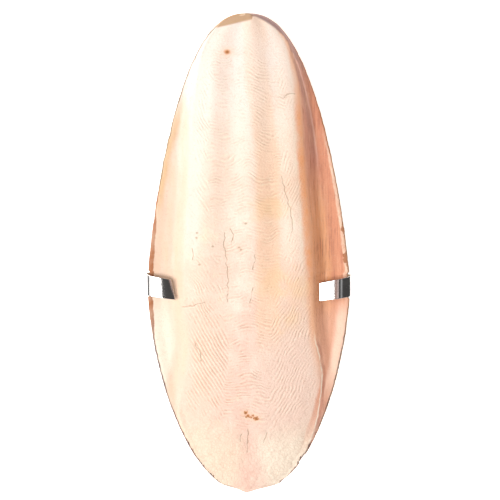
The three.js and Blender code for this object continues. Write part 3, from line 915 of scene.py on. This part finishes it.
BRIGHT_STEEL = colour(226, 224, 222)
DULL_STEEL = colour(206, 203, 204)
BRUSH_RELIEF = 0.004
clip_paint, shader, place = paint("plated_strip")
brushed = place.noise(0.25, 3, 0.6, stretch=(30, 1, 30))
smudge = place.noise(2.5, 3)
steel = (smudge + 0.5).rise(0.3, 0.8).blend(BRIGHT_STEEL, DULL_STEEL)
shader.inputs["Metallic"].default_value = 1.0
steel.feed(shader.inputs["Base Color"])
(0.10 + smudge * 0.08 + brushed * 0.05).feed(shader.inputs["Roughness"])
(brushed * 0.5 + smudge * 0.3).bump(BRUSH_RELIEF).feed(shader.inputs["Normal"])
clip_mesh.materials.append(clip_paint)
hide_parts("clip")
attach(clip, "root")

# The stage: a plain white sheet under the bone, a hair below it, which glows a little so that it
# comes out as pale as a studio's sweep.
FLOOR_HALF = 1.6
FLOOR_Z = -0.02 * MM
FLOOR_WHITE = (0.93, 0.93, 0.93, 1)
FLOOR_GLOW = 0.7
floor_mesh = bpy.data.meshes.new("floor_sheet")
floor_corners = [(i * FLOOR_HALF, j * FLOOR_HALF, FLOOR_Z) for i, j in ((-1, -1), (1, -1), (1, 1), (-1, 1))]
floor_mesh.from_pydata(floor_corners, [], [(0, 1, 2, 3)])
floor = bpy.data.objects.new("floor_sheet", floor_mesh)
bpy.context.scene.collection.objects.link(floor)
floor_paint, shader, _ = paint("white_floor")
shader.inputs["Base Color"].default_value = FLOOR_WHITE
shader.inputs["Roughness"].default_value = 0.9
shader.inputs["Specular IOR Level"].default_value = 0.1
shader.inputs["Emission Color"].default_value = (1, 1, 1, 1)
shader.inputs["Emission Strength"].default_value = FLOOR_GLOW
floor_mesh.materials.append(floor_paint)

# The light: soft studio lamps from the left and from overhead, wide cards before and behind the
# bone, and a dim warm room. Lamps stand in metres and shine in watts.
ROOM_TINT = (1.0, 0.97, 0.94, 1)
ROOM_STRENGTH = 0.08
DAYLIGHT = (1.0, 0.99, 0.98)
KEY_LIGHT = (1.0, 0.99, 0.97)
WHITE_LIGHT = (1.0, 1.0, 1.0)
WARM_LIGHT = (1.0, 0.70, 0.55)
BEND_CARDS = {
    "mauve_card": (0.043, 0.0145, 0.0010, (1.0, 0.64, 0.54)),
    "pink_card": (0.056, 0.008, 0.0010, (1.0, 0.80, 0.76)),
    "grey_card": (0.085, 0.016, 0.0009, (0.96, 0.97, 1.0)),
}
BEND_CARD_Y = -0.030
BEND_CARD_Z = 0.12
world = bpy.data.worlds.new("room")
world.use_nodes = True
world.node_tree.nodes["Background"].inputs["Color"].default_value = ROOM_TINT
world.node_tree.nodes["Background"].inputs["Strength"].default_value = ROOM_STRENGTH
bpy.context.scene.world = world


def lamp(name, spot, aim, size, power, tint):
    """A flat lamp that the camera doesn't see itself."""
    light = bpy.data.lights.new(name, "AREA")
    light.shape = "RECTANGLE"
    light.size, light.size_y = size
    light.energy = power
    light.color = tint
    holder = bpy.data.objects.new(name, light)
    holder.location = spot
    holder.rotation_euler = (Vector(aim) - Vector(spot)).to_track_quat("-Z", "Y").to_euler()
    holder.visible_camera = False
    bpy.context.scene.collection.objects.link(holder)


# The key stands low on the left, so that ribs and shoulders shade to the right. The cards overhead
# and on the left show in the metal, three small ones make the stripes in its right bend, and a
# small warm lamp on the right keeps the far flank from going black.
lamp("key_lamp", (-0.84, 0.14, 0.64), (0, 0, 0.01), (0.50, 0.70), 7.2, KEY_LIGHT)
lamp("top_card", (-0.265, -0.16, 1.0), (-0.265, -0.16, 0.01), (0.66, 0.60), 7.9, DAYLIGHT)
lamp("left_card", (-0.76, -0.26, 0.66), (-0.03, -0.01, 0.01), (0.26, 0.66), 0.7, DAYLIGHT)
for name, (card_x, breadth, power, tint) in BEND_CARDS.items():
    lamp(name, (card_x, BEND_CARD_Y, BEND_CARD_Z), (card_x, BEND_CARD_Y, 0), (breadth, 0.05), power, tint)
for name, card_y in (("front_card", -1.3), ("back_card", 1.3)):
    lamp(name, (0, card_y, 0.55), (0, 0, 0.05), (1.8, 0.8), 2.4, WHITE_LIGHT)
lamp("warm_lamp", (0.80, 0.30, 0.42), (0, 0, 0.01), (0.10, 0.30), 1.2, WARM_LIGHT)

# The camera looks down on the hard side, leaning a little toward the tail end. Its lens makes one
# pixel of the picture a set share of a millimetre on the bone.
MM_PER_PIXEL = 0.3058
PICTURE_SIZE = 500
SENSOR_WIDTH = 36
DISTANCE = 0.70
LEAN = math.radians(11)
ROLL = -0.006
AIM = Vector((0.48 * MM, 2.99 * MM, 8.5 * MM))
camera_data = bpy.data.cameras.new("camera")
camera_data.sensor_width = SENSOR_WIDTH
camera_data.lens = SENSOR_WIDTH * DISTANCE / (MM_PER_PIXEL * MM * PICTURE_SIZE)
camera_data.clip_start, camera_data.clip_end = 0.01, 10
camera = bpy.data.objects.new("camera", camera_data)
bpy.context.scene.collection.objects.link(camera)
away = Vector((-math.sin(ROLL) * math.sin(LEAN), math.cos(ROLL) * math.sin(LEAN), math.cos(LEAN)))
camera.location = AIM + away * DISTANCE
camera.rotation_euler = (-LEAN, 0, ROLL)
bpy.context.scene.camera = camera
bpy.context.scene.view_settings.view_transform = "Standard"
